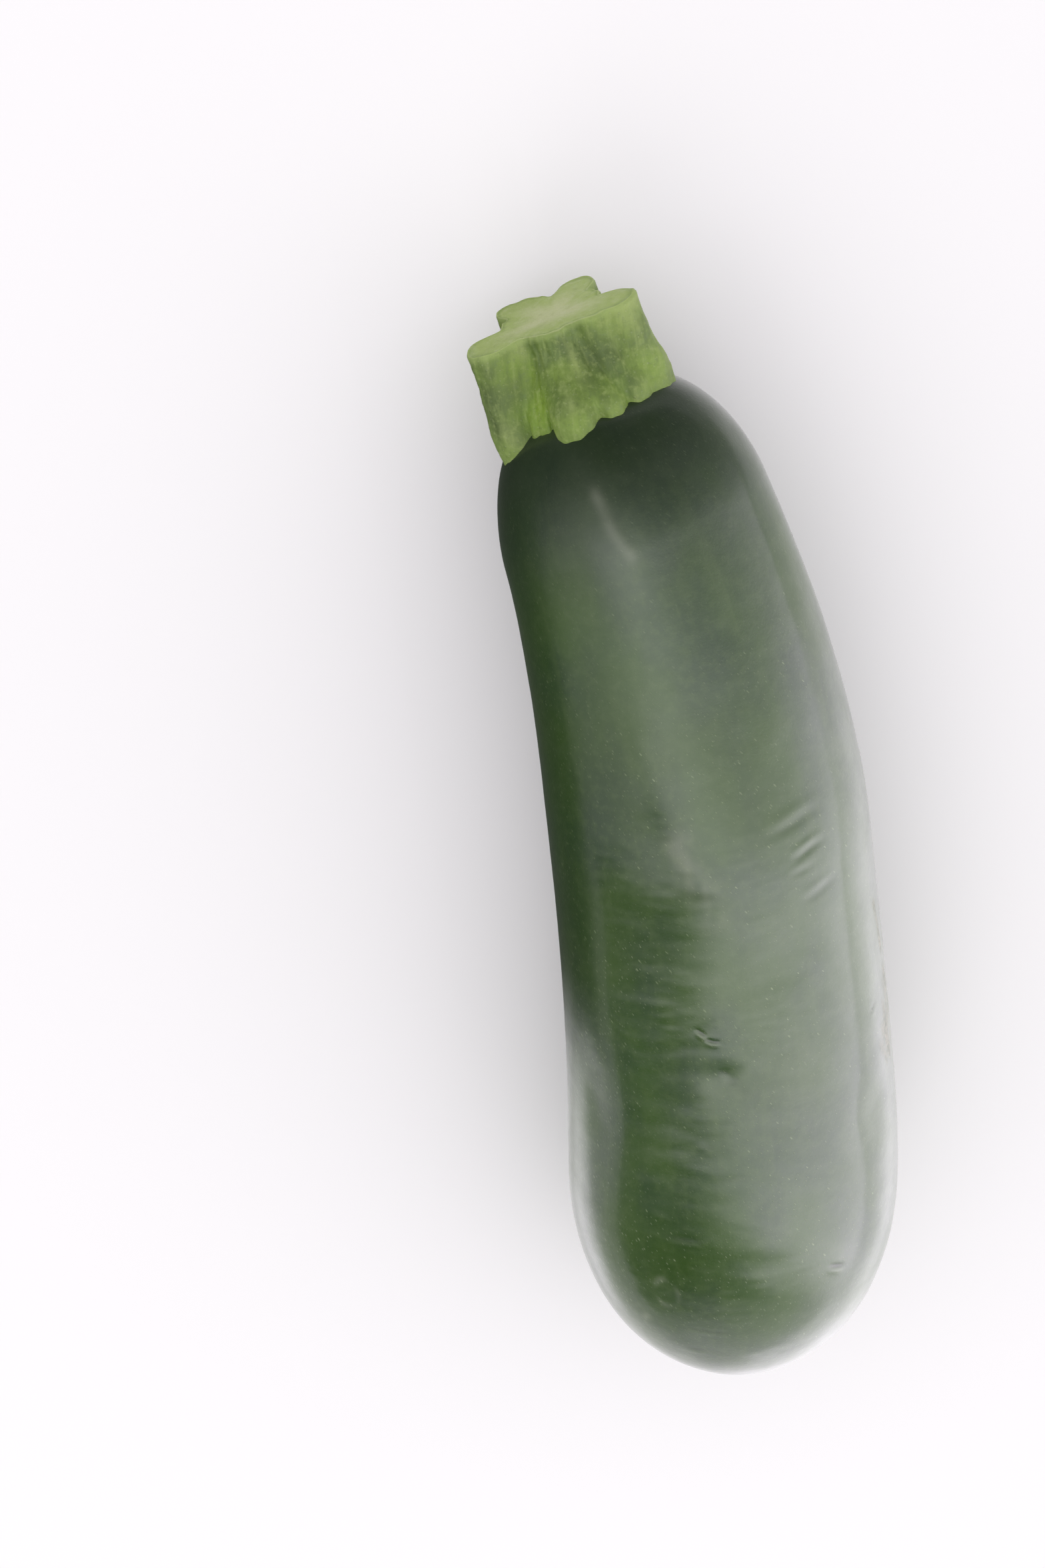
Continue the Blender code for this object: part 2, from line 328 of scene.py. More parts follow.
# The dark card beside the fruit: its ends along Y, its profile across, and how softly it ends.
CARD_NEAR = -0.055
CARD_FAR = 0.125
CARD_PROFILE = ((-0.012, 0.0003), (-0.044, 0.0003), (-0.058, 0.048))
CARD_SOFT_END = 0.030
CARD_SOFT_TOP = 0.020
CARD_COLOUR = (0.02, 0.035, 0.015, 1)

# The camera looks down from a little beyond the stem end, turned slightly.
CAMERA_PLACE = Vector((-0.02639, 0.13935, 0.36070))
CAMERA_TILT = math.radians(20)
CAMERA_ROLL = math.radians(-8.99)
LENS_MM = 50
SENSOR_MM = 36


def smooth_between(values, share):
    """The values at these shares of a run of evenly spaced ones, on a smooth curve through them."""
    share = np.clip(share, 0.0, 1.0)
    values = np.asarray(values)
    before_first = 2 * values[0] - values[1]
    after_last = 2 * values[-1] - values[-2]
    padded = np.concatenate([[before_first], values, [after_last]])
    place = share * (len(values) - 1)
    first = np.minimum(place.astype(int), len(values) - 2)
    t = place - first
    before, a, b, after = (padded[first + k] for k in range(4))
    return 0.5 * (
        2 * a
        + (b - before) * t
        + (2 * before - 5 * a + 4 * b - after) * t**2
        + (3 * a - before - 3 * b + after) * t**3
    )


def smooth_step(low, high, value):
    t = np.clip((value - low) / (high - low), 0.0, 1.0)
    return t * t * (3 - 2 * t)


def rounding(share, fullness):
    """The height of a rounded end, from 0 at its tip to 1 where it has its full thickness."""
    return (1 - (1 - np.clip(share, 0.0, 1.0)) ** fullness) ** (1 / fullness)


def angle_between(a, b):
    return (a - b + math.pi) % math.tau - math.pi


def bump(distance, width):
    """1 at no distance, fading smoothly over the width."""
    return np.exp(-((distance / width) ** 2))


def noise_at(points, size, seed, stretch=(1.0, 1.0, 1.0)):
    """Smooth noise at these points, about -1 to 1. Its lumps have this size over each stretch."""
    shift = Vector((17.3 * seed, 5.1 * seed, 29.7 * seed))
    flat = (points * stretch).reshape(-1, 3)
    values = [noise.noise(Vector(point) / size + shift) for point in flat]
    return np.array(values).reshape(points.shape[:-1])


def rib_height(along, angle):
    """How far the fruit's ribs stand out, on average nothing."""
    share = along / FRUIT_LENGTH
    height = RIB_HEIGHT_AT_BELLY + (
        RIB_HEIGHT_AT_NECK - RIB_HEIGHT_AT_BELLY
    ) * smooth_step(0.45, 0.95, share)
    fade = rounding(along / BLOSSOM_END_DEPTH, BLOSSOM_END_FULLNESS)
    bumps = sum(
        bump(angle_between(angle, math.radians(lobe[0])), RIB_WIDTH)
        for lobe in STRONG_LOBES
    )
    mean = len(STRONG_LOBES) * RIB_WIDTH * math.sqrt(math.pi) / math.tau
    return height * fade * (bumps - mean)


def round_radius(along):
    """The fruit's radius without its ribs."""
    share = along / FRUIT_LENGTH
    blossom = rounding(along / BLOSSOM_END_DEPTH, BLOSSOM_END_FULLNESS)
    shoulder = SEAT_SHARE + (1 - SEAT_SHARE) * rounding(
        (FRUIT_LENGTH - along) / SHOULDER_DEPTH, SHOULDER_FULLNESS
    )
    return smooth_between(HALF_THICKNESS, share) * blossom * shoulder


def near_tip(along):
    """Whether it is in the outer half of the rounded blossom end."""
    return along < BLOSSOM_END_DEPTH / 2


def fruit_axis(along):
    share = along / FRUIT_LENGTH
    belly = smooth_between(BELLY_RISE, share) - REST_FLATTENING
    height = belly + smooth_between(HALF_THICKNESS, share)
    return np.stack([smooth_between(AXIS_SIDEWAYS, share), along, height], axis=-1)


def fruit_sideways(along):
    """Unit vectors across the fruit, level, to the right of its axis."""
    step = FRUIT_LENGTH / 1000
    ahead = fruit_axis(np.minimum(along + step, FRUIT_LENGTH))
    run = ahead - fruit_axis(np.maximum(along - step, 0.0))
    level = np.hypot(run[..., 0], run[..., 1])
    return np.stack(
        [run[..., 1] / level, -run[..., 0] / level, np.zeros_like(level)], axis=-1
    )


def scar_relief(radius):
    """How far the blossom scar sinks the end of the fruit at this distance from its centre."""
    ring = bump(radius - SCAR_RADIUS, SCAR_RING_WIDTH)
    dome = np.maximum(0.0, 1 - (radius / SCAR_RADIUS) ** 2)
    return SCAR_RING_DEPTH * ring - SCAR_DOME * dome


def fruit_surface(along, angle):
    """Points on the fruit's plain form, with +Y still measured from the blossom end."""
    radius = round_radius(along)
    out = radius + rib_height(along, angle)
    up = np.stack([np.zeros_like(out), np.zeros_like(out), np.ones_like(out)], axis=-1)
    across = fruit_sideways(along) * np.cos(angle)[..., None]
    points = fruit_axis(along) + out[..., None] * (across + up * np.sin(angle)[..., None])
    points[..., 1] += np.where(near_tip(along), scar_relief(radius), 0.0)
    return points


def ring_places(count):
    """Distances along the fruit, evenly spaced over its surface from the scar to the seat,
    but closer together where it has most creases."""
    fine = FRUIT_LENGTH * (1 - np.cos(np.linspace(0, math.pi, 4000))) / 2
    creased = sum(bump(fine - middle, length) for middle, length in CREASED_PLACES)
    run = np.hypot(np.diff(fine), np.diff(round_radius(fine)))
    run = run * (1 + CROWDING_AT_CREASES * creased[1:])
    length = np.concatenate([[0.0], np.cumsum(run)])
    return np.interp(np.linspace(0, length[-1], count + 1)[1:], length, fine)


def uneven_angles(count):
    """Angles once round, from the underside, closer together on the upper side."""
    fine = np.linspace(-math.pi / 2, 1.5 * math.pi, 4000)
    run = fine + CROWDING_ON_TOP * np.sin(fine - math.pi / 2)
    shares = (run - run[0]) / (run[-1] - run[0])
    return np.interp(np.arange(count) / count, shares, fine)


def surface_normals(points):
    around = np.roll(points, -1, axis=1) - np.roll(points, 1, axis=1)
    along = np.gradient(points, axis=0)
    normals = np.cross(along, around)
    return normals / np.maximum(np.linalg.norm(normals, axis=-1, keepdims=True), 1e-12)


def stroke(along, angle, places, width):
    """How near each point is to a line on the skin, 1 on the line. places are (mm along, degrees)."""
    x, y = along, angle % math.tau * SKIN_ROUND
    nearest = np.full(along.shape, 1.0)
    for (a, b), (c, d) in zip(places, places[1:]):
        start = np.array([a * MM, math.radians(b) * SKIN_ROUND])
        run = np.array([c * MM, math.radians(d) * SKIN_ROUND]) - start
        t = ((x - start[0]) * run[0] + (y - start[1]) * run[1]) / (run @ run)
        t = np.clip(t, 0.0, 1.0)
        distance = np.hypot(x - start[0] - t * run[0], y - start[1] - t * run[1])
        nearest = np.minimum(nearest, distance)
    return bump(nearest, width)


def crease_mark(along, angle, middle, degrees, turn, length, width):
    """A short mark across the fruit, 1 along its middle, thinner towards its ends. middle, length
    and width are in mm, and turn is in degrees."""
    x = angle_between(angle, math.radians(degrees)) * SKIN_ROUND / MM
    y = along / MM - middle
    a = math.radians(turn)
    u = (x * math.cos(a) + y * math.sin(a)) / (length / 2)
    v = (y * math.cos(a) - x * math.sin(a)) / (width / 2)
    taper = np.clip(1 - u**2, 0.0, 1.0) ** 1.5
    return taper * bump(v, 1.0)


def ripples(points, along, angle, sway, dimples):
    """The relief of fine waves across the fruit, where it swelled fastest."""
    turn = angle_between(angle, RIPPLES_AT)
    window = bump(turn, math.radians(48)) * smooth_step(0.012, 0.030, along)
    window = window * (1 - smooth_step(0.080, 0.105, along))
    wave = np.sin(math.tau * (along + 0.0018 * sway + 0.0008 * dimples) / RIPPLE_SPACING)
    slow = np.sin(math.tau * (along + 0.0030 * sway) / SLOW_RIPPLE_SPACING)
    strength = np.clip(0.25 + 1.6 * dimples, 0.0, 1.0)
    grain = noise_at(points, 0.0013, 10, (0.35, 1.0, 0.35)) * bump(turn, math.radians(80))
    return RIPPLE_HEIGHT * (wave * strength + slow) * window + CROSS_GRAIN_HEIGHT * grain


def creases_and_folds(along, angle):
    """Their relief, the painted shade in their grooves, and the painted highlight on their lips."""
    relief, dark, pale = (np.zeros(along.shape) for _ in range(3))
    for middle, degrees, turn, length, width, depth in CREASES:
        beside = middle - 1.3 * width
        groove = depth * crease_mark(along, angle, middle, degrees, turn, length, width)
        lip = depth * crease_mark(along, angle, beside, degrees, turn, length, 1.7 * width)
        relief += CREASE_LIP_HEIGHT * lip - CREASE_DEPTH * groove
        dark += groove
        pale += lip
    for middle, degrees, turn, length, width, depth in FOLDS:
        above = middle + 0.9 * width
        groove = depth * crease_mark(along, angle, middle, degrees, turn, length, width)
        ridge = depth * crease_mark(along, angle, above, degrees, turn, length, width)
        relief += FOLD_RIDGE_HEIGHT * ridge - FOLD_DEPTH * groove
        dark += 0.25 * groove
        pale += 0.14 * ridge
    return relief, dark, pale


def hollow_depth(along, angle):
    total = np.zeros(along.shape)
    for middle, degrees, depth, long, wide in HOLLOWS:
        across = angle_between(angle, math.radians(degrees)) * SKIN_ROUND
        total += depth * bump(np.hypot((along - middle * MM) / long, across / wide), 1.0)
    return total


def corky_places(along, angle, sway, bits):
    """Where the skin healed over a graze, from 0 to 1: a thin line that widens into a patch."""
    line = stroke(along, angle, CORK_LINE, 0.0009)
    patch = stroke(along, angle, CORK_PATCH, 0.0036)
    cork = np.maximum(line, patch * (0.75 + 0.4 * sway))
    return np.clip(1.7 * (cork * (0.95 + 1.1 * bits) - 0.26), 0.0, 1.0)


def pale_scuffs_and_highlights(along, angle, highlight_streak, dimples, bits):
    """Where the skin is pale, from 0 to 1: a real pressed ring and scratch, and painted highlights on the
    neck streak and on a line on the upper side.
    """
    from_ring = np.hypot(
        (along - RING_PLACE) / RING_STRETCH, angle_between(angle, RING_ANGLE) * SKIN_ROUND
    )
    ring = bump(from_ring - RING_RADIUS, RING_WIDTH) * np.clip(0.25 + 1.5 * dimples, 0, 1)
    highlight_line = stroke(along, angle, HIGHLIGHT_LINE, 0.0025)
    scuff_and_highlight = 0.6 * ring + 0.35 * stroke(along, angle, SCRATCH, 0.0007)
    # Painted highlights along the neck streak and along the line on the upper side.
    scuff_and_highlight = scuff_and_highlight + 0.36 * highlight_streak * np.clip(0.7 + 0.8 * dimples, 0, 1)
    scuff_and_highlight = scuff_and_highlight + 0.46 * highlight_line * np.clip(0.6 + 0.9 * dimples + 0.5 * bits, 0, 1)
    return np.clip(scuff_and_highlight, 0, 1)


def skin_relief(points, along, angle):
    """How far the real skin stands off the plain form, where it is corky or scuffed, and where its
    creases and streaks get painted shade and painted highlights.
    """
    lumps = noise_at(points, 0.016, 1, (1.0, 0.6, 1.0))
    dimples = noise_at(points, 0.0045, 2)
    sway = noise_at(points, 0.011, 3)
    grain = noise_at(points, 0.0016, 4)
    bits = noise_at(points, 0.0014, 11, (1.0, 0.45, 1.0))
    warped = along + 0.0004 * sway + 0.0003 * dimples
    creased, dark, pale = creases_and_folds(warped, angle)
    cork = corky_places(along, angle, sway, bits)
    crest = stroke(along, angle, CREST, 0.0028) * smooth_step(CREST_GONE, CREST_WHOLE, along)
    highlight_streak = stroke(along, angle, NECK_HIGHLIGHT_STREAK, 0.0013)
    relief = LUMP_HEIGHT * lumps + DIMPLE_HEIGHT * dimples
    relief += ripples(points, along, angle, sway, dimples)
    relief += creased - hollow_depth(along, angle)
    relief += cork * (CORK_HEIGHT + CORK_GRAIN_HEIGHT * grain)
    relief += CREST_HEIGHT * crest + STREAK_HEIGHT * highlight_streak
    scuff_and_highlight = pale_scuffs_and_highlights(along, angle, highlight_streak, dimples, bits)
    return relief, {"cork": cork, "scuff_and_highlight": scuff_and_highlight, "crease_shade": dark, "lip": pale}


def blossom_scar(points, along):
    """The relief of the scar's small knob, and where the scar's colour is, from 0 to 1. Its rim
    is uneven."""
    radius = round_radius(along)
    rough = noise_at(points, 0.0010, 13)
    knob = SCAR_KNOB_HEIGHT * bump(radius, SCAR_KNOB_RADIUS) + SCAR_GRAIN_HEIGHT * rough
    inside = (1 - smooth_step(0.0036, 0.0056, radius)) * near_tip(along)
    uneven = radius * (1 + 0.20 * noise_at(points, 0.0022, 12))
    coloured = (1 - smooth_step(0.0030, 0.0062, uneven)) * near_tip(along)
    return inside * knob, coloured


def closed_tube(rings, sides):
    """The faces of a tube of rings of points. Fans close its ends, round two more points that are
    listed after the rings: first the middle of the first ring, then the middle of the last."""
    faces = []
    for i in range(rings - 1):
        for j in range(sides):
            k = (j + 1) % sides
            a, b = i * sides, (i + 1) * sides
            faces.append((a + j, b + j, b + k, a + k))
    start, end, last = rings * sides, rings * sides + 1, (rings - 1) * sides
    for j in range(sides):
        k = (j + 1) % sides
        faces.append((start, j, k))
        faces.append((end, last + k, last + j))
    return faces


def mesh_of(name, points, faces, corner_places=None, values=None):
    """A smooth mesh in the scene, with a map of its faces' corners and named values of its points."""
    data = bpy.data.meshes.new(name)
    data.from_pydata(points.tolist(), [], faces)
    if corner_places is not None:
        layer = data.uv_layers.new(name="places")
        layer.data.foreach_set("uv", np.asarray(corner_places, np.float32).ravel())
    for key, numbers in (values or {}).items():
        made = data.attributes.new(key, "FLOAT", "POINT")
        made.data.foreach_set("value", np.asarray(numbers, np.float32))
    data.shade_smooth()
    data.update()
    obj = bpy.data.objects.new(name, data)
    bpy.context.scene.collection.objects.link(obj)
    return obj


def skin_map(places, angles):
    """How far round and how far along each corner of the skin's faces is, in metres."""
    arc = np.append(angles, angles[0] + math.tau) * SKIN_ROUND
    corners = []
    for near, far in zip(places, places[1:]):
        for left, right in zip(arc, arc[1:]):
            corners += [(left, near), (left, far), (right, far), (right, near)]
    for left, right in zip(arc, arc[1:]):
        corners += [(left, 0.0), (left, places[0]), (right, places[0])]
        corners += [(left, FRUIT_LENGTH), (right, places[-1]), (left, places[-1])]
    return corners


def shift_onto_solid(points):
    """How far the plain form's points go to be where the solid fruit is."""
    flat = points.reshape(-1, 3)
    middle = (flat.min(axis=0) + flat.max(axis=0)) / 2
    low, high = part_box("fruit")
    return np.array([(low.x + high.x) / 2 - middle[0], (low.y + high.y) / 2 - middle[1], 0.0])


def make_skin():
    """The fruit, as one closed surface from the middle of the blossom scar to the middle of the seat,
    and how far it was shifted."""
    places = ring_places(SKIN_RINGS)
    angles = uneven_angles(SKIN_SIDES)
    along, angle = np.meshgrid(places, angles, indexing="ij")
    plain = fruit_surface(along, angle)
    relief, marks = skin_relief(plain, along, angle)
    knob, marks["scar"] = blossom_scar(plain, along)
    relief = relief * smooth_step(0.0, 0.004, round_radius(along)) + knob
    points = plain + relief[..., None] * surface_normals(plain)
    points[..., 2] = np.maximum(points[..., 2], 0.0)
    tip = points[0].mean(axis=0) + [0.0, -0.00003, 0.0]
    seat = points[-1].mean(axis=0)
    shift = shift_onto_solid(plain)
    everything = np.concatenate([points.reshape(-1, 3), [tip, seat]]) + shift
    faces = closed_tube(SKIN_RINGS, SKIN_SIDES)
    values = {name: np.append(mark.ravel(), [0, 0]) for name, mark in marks.items()}
    return mesh_of("fruit_skin", everything, faces, skin_map(places, angles), values), shift


def finger(turn, reach, half_width):
    """The outline of a round-ended finger that points along turn 0, as a distance from its root."""
    centre = reach - half_width
    size = np.abs(turn)
    across = centre * np.sin(turn)
    tip = centre * np.cos(turn) + np.sqrt(np.maximum(half_width**2 - across**2, 0.0))
    side = half_width / np.maximum(np.abs(np.sin(turn)), 1e-6)
    inside = np.where(np.tan(np.minimum(size, 1.5)) * centre <= half_width, tip, side)
    return np.where(size >= math.pi / 2, 0.0, inside)


def stem_radius(angle, height):
    """The stem's plain outline: round-ended lobes on a round core, with soft valleys."""
    up = smooth_step(0.0, STEM_FOOT_HEIGHT, height)
    core = STEM_CORE_AT_FOOT + (STEM_CORE_AT_CUT - STEM_CORE_AT_FOOT) * up
    total = core**VALLEY_SHARPNESS
    for degrees, reach_at_foot, reach_at_cut, half_width in STRONG_LOBES + WEAK_LOBES:
        turn = angle_between(angle, math.radians(degrees))
        reach = reach_at_foot + (reach_at_cut - reach_at_foot) * up
        total = total + finger(turn, reach, half_width) ** VALLEY_SHARPNESS
    return total ** (1 / VALLEY_SHARPNESS)


def stem_placement(shift):
    """The matrix that stands the stem, which grows along its own +Y, on the fruit's seat."""
    outward = Vector(
        (
            -math.sin(STEM_TURN) * math.cos(STEM_RISE),
            math.cos(STEM_TURN) * math.cos(STEM_RISE),
            math.sin(STEM_RISE),
        )
    )
    right = Vector((outward.y, -outward.x, 0.0)).normalized()
    top = right.cross(outward)
    turned = Matrix((right, outward, top)).transposed().to_4x4()
    seat = fruit_axis(np.array([FRUIT_LENGTH]))[0] + shift
    return Matrix.Translation(Vector(seat)) @ turned


def lobe_share(radius):
    """0 deep in a valley between the stem's lobes, 1 where a strong lobe reaches furthest."""
    reach = max(lobe[1] for lobe in STRONG_LOBES)
    return (radius - VALLEY_RADIUS) / (reach - VALLEY_RADIUS)


def stem_relief(plain, angle, height, fibre, pimple, swell):
    """How far the real stem stands off its plain outline."""
    foot = 1 - smooth_step(0.002, 0.011, height)
    relief = (0.00014 + 0.00020 * foot) * fibre + 0.00008 * pimple + 0.00034 * swell
    valley = 1 - smooth_step(0.45, 0.90, lobe_share(plain))
    valley = valley * smooth_step(-0.002, 0.001, height) * (0.4 + 0.6 * foot)
    short = bump(angle_between(angle, SHORT_LOBE), SHORT_LOBE_WIDTH)
    short = short * (1 - smooth_step(0.002, 0.006, height))
    rim = smooth_step(STEM_LENGTH - 0.0006, STEM_LENGTH, height)
    return relief - VALLEY_DEPTH * valley - SHORT_LOBE_DEPTH * short - 0.00025 * rim**2


def stem_tone(spots, angle, height):
    """How much of a tone there is at these places, from 0 to 1."""
    total = np.zeros(angle.shape)
    for degrees, mm, wide, long, strength in spots:
        turn = angle_between(angle, math.radians(degrees)) / math.radians(wide)
        total = np.maximum(total, strength * bump(np.hypot(turn, (height / MM - mm) / long), 1.0))
    return total


def stem_side(angles, rim_wave):
    """The stem's ribbed side, from inside the fruit's shoulder up to the cut: its points, its radius,
    and what colours it."""
    heights = np.linspace(-STEM_SUNK, STEM_LENGTH, STEM_RINGS)
    height, angle = np.meshgrid(heights, angles, indexing="ij")
    around = np.stack([np.cos(angle), np.sin(angle)], axis=-1) * STEM_NOISE_RADIUS
    place = np.concatenate([around, height[..., None]], axis=-1)
    fibre = noise_at(place, 0.0011, 5, (1.0, 1.0, 0.10))
    pimple = noise_at(place, 0.0010, 6)
    swell = noise_at(place, 0.0040, 7)
    plain = stem_radius(angle, height)
    radius = plain + stem_relief(plain, angle, height, fibre, pimple, swell)
    lean = height / STEM_LENGTH * radius * np.sin(angle) * math.tan(STEM_CUT_LEAN)
    lean = np.where(height > 0, lean, 0.0) - rim_wave * smooth_step(0.008, STEM_LENGTH, height)
    points = np.stack([radius * np.cos(angle), height - lean, radius * np.sin(angle)], axis=-1)
    cut = np.zeros(height.shape)
    cut[-1] = 0.6
    values = {"cut": cut, "ridge": lobe_share(radius), "up": height / STEM_LENGTH}
    blurred_angle = angle + 0.05 * swell + 0.02 * fibre
    blurred_height = height + 0.0007 * swell
    for name, spots in (("bright", BRIGHT_SPOTS), ("dull", DULL_AND_SHADED_SPOTS), ("pale", PALE_SPOTS)):
        values[name] = stem_tone(spots, blurred_angle, blurred_height)
    return points, radius, values


def stem_cut(angles, rim_radius, rim_wave):
    """The stem's cut face inside its rim: its points, and how far out each is, from 0 to 1."""
    shares = np.linspace(1, 0, CUT_RINGS + 1)[1:-1]
    share, turn = np.meshgrid(shares, angles, indexing="ij")
    radius = share * rim_radius
    x, z = radius * np.cos(turn), radius * np.sin(turn)
    place = np.stack([x, z, np.full_like(x, 0.3)], axis=-1)
    saw = noise_at(place, 0.0012, 8, (1.0, 0.25, 1.0))
    wave = noise_at(place, 0.0050, 9)
    sunk = 0.00035 * bump(radius, 0.0050) - 0.00006 * saw - 0.00018 * wave
    sunk = sunk - rim_wave * share**4
    y = STEM_LENGTH - z * math.tan(STEM_CUT_LEAN) - sunk
    return np.stack([x, y, z], axis=-1), share


def mark_sharp(data, first, end):
    """Makes each edge sharp whose two points are in this run of points."""
    ends = np.empty(len(data.edges) * 2, np.int32)
    data.edges.foreach_get("vertices", ends)
    ends = ends.reshape(-1, 2)
    on_run = ((ends >= first) & (ends < end)).all(axis=1)
    sharp = data.attributes.new("sharp_edge", "BOOLEAN", "EDGE")
    sharp.data.foreach_set("value", on_run)


def make_stem(shift):
    """The stem, as one closed surface: its side, and its cut face."""
    angles = np.linspace(0, math.tau, STEM_SIDES, endpoint=False)
    around = np.stack([np.cos(angles), np.sin(angles), np.zeros(STEM_SIDES)], axis=-1)
    rim_wave = 0.00045 * noise_at(around * STEM_NOISE_RADIUS, 0.0026, 14)
    side, radius, values = stem_side(angles, rim_wave)
    face, share = stem_cut(angles, radius[-1], rim_wave)
    foot = (0.0, -STEM_SUNK, 0.0)
    centre = (0.0, STEM_LENGTH - 0.0003, 0.0)
    everything = np.concatenate([side.reshape(-1, 3), face.reshape(-1, 3), [foot, centre]])
    on_face = {"cut": np.ones(share.shape), "ridge": share, "up": np.ones(share.shape)}
    at_ends = {"cut": (0, 1), "ridge": (0, 0), "up": (0, 1)}
    for name, numbers in values.items():
        more = on_face.get(name, np.zeros(share.shape))
        whole = np.concatenate([numbers.ravel(), more.ravel(), at_ends.get(name, (0, 0))])
        values[name] = np.clip(whole, 0, 1)
    faces = closed_tube(STEM_RINGS + len(share), STEM_SIDES)
    obj = mesh_of("stem_stub", everything, faces, None, values)
    obj.data.transform(stem_placement(shift))
    mark_sharp(obj.data, (STEM_RINGS - 1) * STEM_SIDES, STEM_RINGS * STEM_SIDES)
    return obj


class Nodes:
    """A short way to write a material's or the world's nodes."""

    def __init__(self, owner):
        owner.use_nodes = True
        self.tree = owner.node_tree
        self.tree.nodes.clear()

    def add(self, kind, settings=None, **inputs):
        """A node. The inputs are named as its sockets are, with _ for each space."""
        node = self.tree.nodes.new(kind)
        for key, value in (settings or {}).items():
            setattr(node, key, value)
        for key, value in inputs.items():
            self.put(node.inputs[key.replace("_", " ")], value)
        return node

    def put(self, socket, value):
        if isinstance(value, bpy.types.NodeSocket):
            self.tree.links.new(value, socket)
        elif isinstance(value, bpy.types.Node):
            self.tree.links.new(value.outputs[0], socket)
        else:
            socket.default_value = value

    def math(self, operation, *values):
        node = self.add("ShaderNodeMath", {"operation": operation})
        for socket, value in zip(node.inputs, values):
            self.put(socket, value)
        return node.outputs[0]

    def times(self, first, *others):
        for other in others:
            first = self.math("MULTIPLY", first, other)
        return first

    def ramp(self, value, low, high, to_low=0.0, to_high=1.0):
        """value between low and high, smoothly brought to between to_low and to_high."""
        node = self.add("ShaderNodeMapRange", {"interpolation_type": "SMOOTHSTEP"})
        for socket, number in zip(node.inputs, (value, low, high, to_low, to_high)):
            self.put(socket, number)
        return node.outputs[0]

    def mix(self, share, first, second):
        """A colour between two others."""
        node = self.add("ShaderNodeMix", {"data_type": "RGBA"})
        for index, value in ((0, share), (6, first), (7, second)):
            self.put(node.inputs[index], value)
        return node.outputs[2]

    def between(self, share, first, second):
        """A number between two others."""
        node = self.add("ShaderNodeMix", {"data_type": "FLOAT"})
        for index, value in ((0, share), (2, first), (3, second)):
            self.put(node.inputs[index], value)
        return node.outputs[0]

    def number(self, name):
        """One of the mesh's own values."""
        return self.add("ShaderNodeAttribute", {"attribute_name": name}).outputs["Fac"]

    def place(self):
        return self.add("ShaderNodeTexCoord").outputs["Object"]

    def parts(self, vector):
        return self.add("ShaderNodeSeparateXYZ", Vector=vector).outputs

    def noise(self, place, scale, detail=2.0, roughness=0.5):
        return self.add(
            "ShaderNodeTexNoise",
            Vector=place,
            Scale=scale,
            Detail=detail,
            Roughness=roughness,
        ).outputs[0]

    def mapped(self, place, scale, turn=0.0, kind="POINT"):
        return self.add(
            "ShaderNodeMapping",
            {"vector_type": kind},
            Vector=place,
            Rotation=(0.0, 0.0, turn),
            Scale=scale,
        ).outputs[0]

    def surface(self, **inputs):
        """The shader, with these inputs, as the material's surface."""
        shader = self.add("ShaderNodeBsdfPrincipled", **inputs)
        self.add("ShaderNodeOutputMaterial", Surface=shader)


def flecks(nodes, place, long, wide, size, share):
    """Small long spots, one at most in each cell, in this share of the cells. long and wide, in metres,
    are a cell's."""
    cells = nodes.add(
        "ShaderNodeTexVoronoi",
        {"voronoi_dimensions": "2D"},
        Vector=nodes.mapped(place, (wide, long, 1.0), FLECK_LEAN, "TEXTURE"),
        Scale=1.0,
        Randomness=1.0,
    )
    draws = nodes.add("ShaderNodeSeparateColor", Color=cells.outputs["Color"]).outputs
    chosen = nodes.math("LESS_THAN", draws[0], share)
    reach = nodes.math("MULTIPLY_ADD", draws[1], size * 0.6, size * 0.4)
    spot = nodes.math("DIVIDE", cells.outputs["Distance"], reach)
    soft = nodes.ramp(spot, 0.55, 1.0, 1.0, 0.0)
    bright = nodes.math("MULTIPLY_ADD", draws[2], 0.6, 0.4)
    return nodes.times(soft, chosen, bright)


def skin_greens(nodes, place, skin_place, mottle):
    """The fruit's greens, without the marks on it. The left flank is darker with painted shade, and the
    neck is darker.
    """
    around, along = nodes.parts(skin_place)[:2]
    broad = nodes.noise(nodes.mapped(place, (1.0, 0.35, 1.0)), 55.0, 3.0)
    patches = nodes.noise(nodes.mapped(place, (1.0, 0.6, 1.0)), 95.0, 2.0)
    streaks = nodes.noise(nodes.mapped(skin_place, (260.0, 22.0, 1.0)), 1.0, 3.0, 0.6)
    green = nodes.mix(nodes.ramp(broad, 0.35, 0.68), DEEP_GREEN, FRESH_GREEN)
    green = nodes.mix(nodes.ramp(patches, 0.42, 0.70, 0.0, 0.5), green, WARM_GREEN)
    green = nodes.mix(nodes.ramp(patches, 0.50, 0.28, 0.0, 0.5), green, COOL_GREEN)
    green = nodes.mix(nodes.ramp(streaks, 0.50, 0.80, 0.0, 0.40), green, STREAK_GREEN)
    green = nodes.mix(nodes.ramp(mottle, 0.40, 0.75, 0.0, 0.35), green, MOTTLE_GREEN)
    # Painted shade: the left flank is darkened from 55 mm along.
    shaded_flank = nodes.times(
        nodes.ramp(around, 0.062, 0.074),
        nodes.ramp(around, 0.105, 0.090),
        nodes.ramp(along, 0.055, 0.090, 0.0, 0.50),
    )
    green = nodes.mix(shaded_flank, green, SHADED_FLANK_GREEN)
    return nodes.mix(nodes.ramp(along, 0.140, 0.170, 0.0, 0.75), green, NECK_GREEN)


